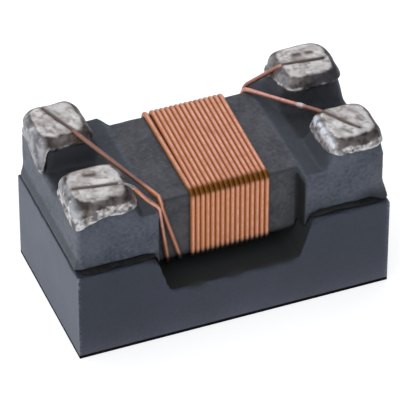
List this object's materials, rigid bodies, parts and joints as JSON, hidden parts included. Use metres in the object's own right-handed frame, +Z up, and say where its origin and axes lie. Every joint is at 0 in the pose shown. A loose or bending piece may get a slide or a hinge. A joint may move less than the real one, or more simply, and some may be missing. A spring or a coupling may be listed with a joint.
{
  "type": "smd common mode choke",
  "caption": "Surface-mount common mode choke: ferrite drum core with a bifilar copper winding on its beam, tinned terminals on its legs and a recessed ferrite cover plate.",
  "frame": {"origin": "middle of the cover plate's flat underside", "axes": "+X along the plate, +Y to the back, +Z up to the terminals"},
  "size_m": [0.0032, 0.0018, 0.0018],
  "materials": {
    "core_ferrite": "matte pressed",
    "plate_ferrite": "satin ground",
    "bond": "cured adhesive",
    "tin": "dipped tin",
    "copper_wire": "enamelled copper"
  },
  "bodies": {
    "root": {"ferrite_core": "core_ferrite", "cover_plate": "plate_ferrite", "adhesive_left": "bond", "adhesive_right": "bond", "terminal_front_left": "tin", "terminal_front_right": "tin", "terminal_back_left": "tin", "terminal_back_right": "tin", "winding_first": "copper_wire", "winding_second": "copper_wire"}
  },
  "joints": []
}
